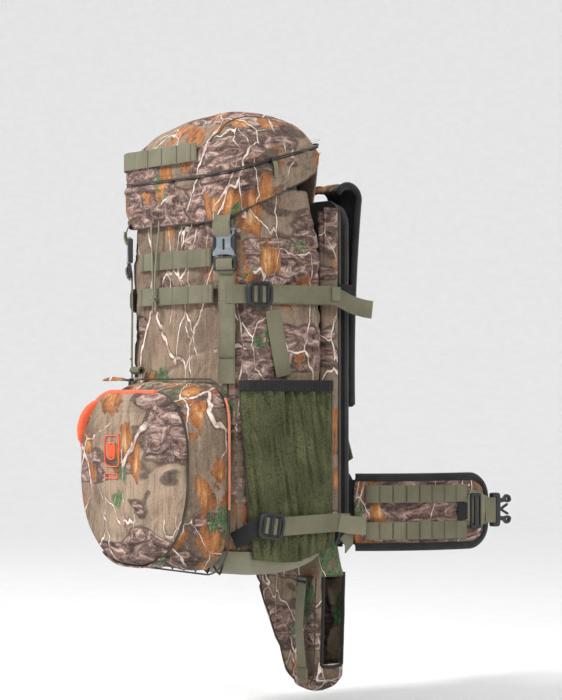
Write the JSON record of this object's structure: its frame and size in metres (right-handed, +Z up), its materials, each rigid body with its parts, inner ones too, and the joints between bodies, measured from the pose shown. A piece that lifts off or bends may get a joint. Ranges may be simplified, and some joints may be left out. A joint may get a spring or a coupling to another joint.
{
  "type": "hunting backpack",
  "caption": "Tall camouflage hunting backpack with a domed lid, rounded front pocket, mesh side pockets, padded hip belt and a fold-down rifle boot.",
  "frame": {"origin": "on the plane of the wearer's back (the lumbar pad's rear face), on the centre line, level with the lowest point of the bag's base", "axes": "+Z up, +Y towards the wearer, +X to the wearer's right; the front pocket faces -Y"},
  "size_m": [0.3498, 0.5527, 0.809],
  "materials": {
    "camo_fabric": "printed brushed woven cloth",
    "webbing": "woven webbing",
    "buckle_plastic": "moulded acetal",
    "spacer_mesh": "padded air mesh",
    "base_fabric": "coated plain weave",
    "collar_fabric": "light nylon",
    "zip_tape": "coil zip under a welt",
    "piping": "blaze orange cloth",
    "zip_metal": "painted die casting with a cord pull",
    "stay_alloy": "mill finish",
    "frame_plastic": "extruded sheet",
    "stretch_mesh": "open knit",
    "elastic": "woven elastic",
    "cord": "braided cord"
  },
  "bodies": {
    "pack": {"main_bag": "camo_fabric", "bag_base": "base_fabric", "collar": "collar_fabric", "corner_straps": "webbing", "front_molle_rows": "webbing", "upper_side_straps": "webbing", "lower_side_straps": "webbing", "diagonal_webbings": "webbing", "mesh_pocket_right": "stretch_mesh", "mesh_pocket_left": "stretch_mesh", "pocket_bands": "elastic", "front_pocket": "camo_fabric", "pocket_piping": "piping", "zip_garage": "piping", "pull_loop": "webbing", "back_panel": "spacer_mesh", "frame_stays": "stay_alloy", "frame_sheet": "frame_plastic", "lumbar_pad": "spacer_mesh", "channel_sides": "camo_fabric", "shoulder_webbings": "webbing", "haul_loop": "webbing", "drawcord_left": "cord", "drawcord_right": "cord", "drawcord_knot": "cord"},
    "lid": {"lid_top": "camo_fabric", "lid_skirt": "camo_fabric", "lid_zip": "zip_tape", "lid_floor": "collar_fabric", "lid_molle": "webbing", "lid_strap_right": "webbing", "lid_strap_left": "webbing", "lid_buckle_socket_right": "buckle_plastic", "lid_buckle_socket_left": "buckle_plastic"},
    "lid_slider": {"lid_zip_slider": "webbing"},
    "door": {"pocket_door": "camo_fabric"},
    "door_slider": {"pocket_zip_slider": "zip_metal"},
    "boot": {"rifle_boot": "camo_fabric", "boot_strap": "webbing", "boot_clamp": "buckle_plastic"},
    "belt_plug": {"hip_buckle_plug": "buckle_plastic"},
    "belt_socket": {"hip_buckle_socket": "buckle_plastic"},
    "strap_right": {"shoulder_strap_right": "camo_fabric", "sternum_strap_right": "webbing"},
    "wing_right": {"hip_wing_right": "camo_fabric", "wing_molle_right": "webbing", "belt_webbing_right": "webbing", "belt_triglide_right": "buckle_plastic"},
    "lid_plug_right": {"lid_buckle_plug_right": "buckle_plastic"},
    "upper_lock_right": {"upper_lock_right": "buckle_plastic"},
    "lower_lock_right": {"lower_lock_right": "buckle_plastic"},
    "strap_left": {"shoulder_strap_left": "camo_fabric", "sternum_strap_left": "webbing"},
    "wing_left": {"hip_wing_left": "camo_fabric", "wing_molle_left": "webbing", "belt_webbing_left": "webbing", "belt_triglide_left": "buckle_plastic"},
    "lid_plug_left": {"lid_buckle_plug_left": "buckle_plastic"},
    "upper_lock_left": {"upper_lock_left": "buckle_plastic"},
    "lower_lock_left": {"lower_lock_left": "buckle_plastic"}
  },
  "joints": [
    {"name": "lid_hinge", "type": "hinge", "parent": "pack", "child": "lid", "pos_m": [0, -0.072, 0.548], "axis": [-1, 0, 0], "range_deg": [0, 72]},
    {"name": "lid_zip_travel", "type": "slide", "parent": "lid", "child": "lid_slider", "axis": [0, 0.9613, 0.2756], "range_m": [-0.018, 0.045]},
    {"name": "pocket_door_fold", "type": "hinge", "parent": "pack", "child": "door", "pos_m": [0, -0.294, 0.006], "axis": [1, 0, 0], "range_deg": [0, 80]},
    {"name": "pocket_zip_travel", "type": "slide", "parent": "door", "child": "door_slider", "axis": [1, 0, 0], "range_m": [-0.04, 0.045]},
    {"name": "boot_fold", "type": "hinge", "parent": "pack", "child": "boot", "pos_m": [0, -0.067, -0.003], "axis": [-1, 0, 0], "range_deg": [0, 75]},
    {"name": "strap_swing_right", "type": "hinge", "parent": "pack", "child": "strap_right", "pos_m": [0.062, -0.024, 0.528], "axis": [1, 0, 0], "range_deg": [0, 45]},
    {"name": "wing_swing_right", "type": "hinge", "parent": "pack", "child": "wing_right", "pos_m": [0.10319, -0.00621, 0.079], "axis": [0, 0, -1], "range_deg": [-15, 20]},
    {"name": "lid_buckle_release_right", "type": "slide", "parent": "pack", "child": "lid_plug_right", "axis": [0, 0, -1], "range_m": [0, 0.018]},
    {"name": "upper_lock_tilt_right", "type": "hinge", "parent": "pack", "child": "upper_lock_right", "pos_m": [0.1489, -0.213, 0.377], "axis": [0, 0, -1], "range_deg": [0, 35]},
    {"name": "lower_lock_tilt_right", "type": "hinge", "parent": "pack", "child": "lower_lock_right", "pos_m": [0.166, -0.206, 0.069], "axis": [0, 0, -1], "range_deg": [0, 35]},
    {"name": "belt_buckle_swing_right", "type": "hinge", "parent": "wing_right", "child": "belt_plug", "pos_m": [0.16571, 0.2032, 0.079], "axis": [0, 0, 1], "range_deg": [-30, 30]},
    {"name": "strap_swing_left", "type": "hinge", "parent": "pack", "child": "strap_left", "pos_m": [-0.062, -0.024, 0.528], "axis": [1, 0, 0], "range_deg": [0, 45]},
    {"name": "wing_swing_left", "type": "hinge", "parent": "pack", "child": "wing_left", "pos_m": [-0.10319, -0.00621, 0.079], "axis": [0, 0, 1], "range_deg": [-15, 20]},
    {"name": "lid_buckle_release_left", "type": "slide", "parent": "pack", "child": "lid_plug_left", "axis": [0, 0, -1], "range_m": [0, 0.018]},
    {"name": "upper_lock_tilt_left", "type": "hinge", "parent": "pack", "child": "upper_lock_left", "pos_m": [-0.1489, -0.213, 0.377], "axis": [0, 0, 1], "range_deg": [0, 35]},
    {"name": "lower_lock_tilt_left", "type": "hinge", "parent": "pack", "child": "lower_lock_left", "pos_m": [-0.166, -0.206, 0.069], "axis": [0, 0, 1], "range_deg": [0, 35]},
    {"name": "belt_buckle_swing_left", "type": "hinge", "parent": "wing_left", "child": "belt_socket", "pos_m": [-0.16571, 0.2032, 0.079], "axis": [0, 0, 1], "range_deg": [-30, 30]}
  ]
}
